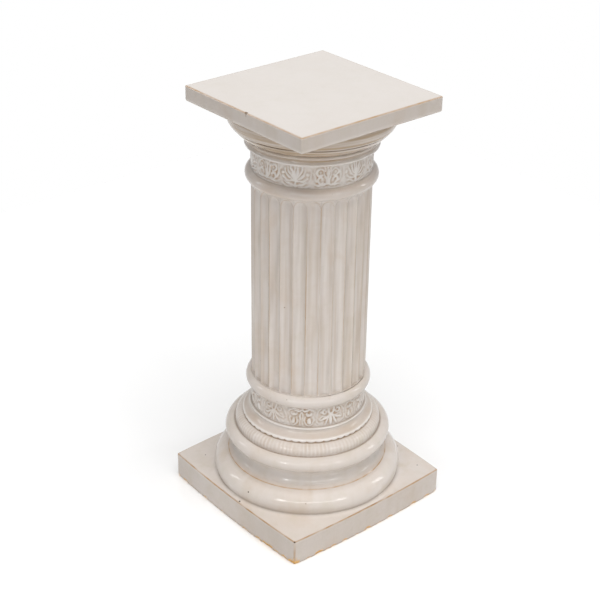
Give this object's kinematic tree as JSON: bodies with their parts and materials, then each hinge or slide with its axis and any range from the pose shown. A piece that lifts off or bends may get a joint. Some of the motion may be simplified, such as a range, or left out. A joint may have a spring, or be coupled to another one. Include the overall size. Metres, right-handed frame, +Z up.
{
  "type": "pedestal column",
  "caption": "Round fluted column in cream glazed ceramic on a square plinth, with leaf-and-scroll bands at neck and foot, ringed base mouldings and a flat square top slab.",
  "frame": {"origin": "centre of the plinth's underside, on the surface that the column stands on", "axes": "+Z up along the shaft's axis, towards the top slab; +X and +Y square to the sides of the plinth and slab"},
  "size_m": [0.313, 0.313, 0.6806],
  "materials": {
    "glaze": "glossy"
  },
  "bodies": {
    "root": {"column": "glaze"}
  },
  "joints": []
}
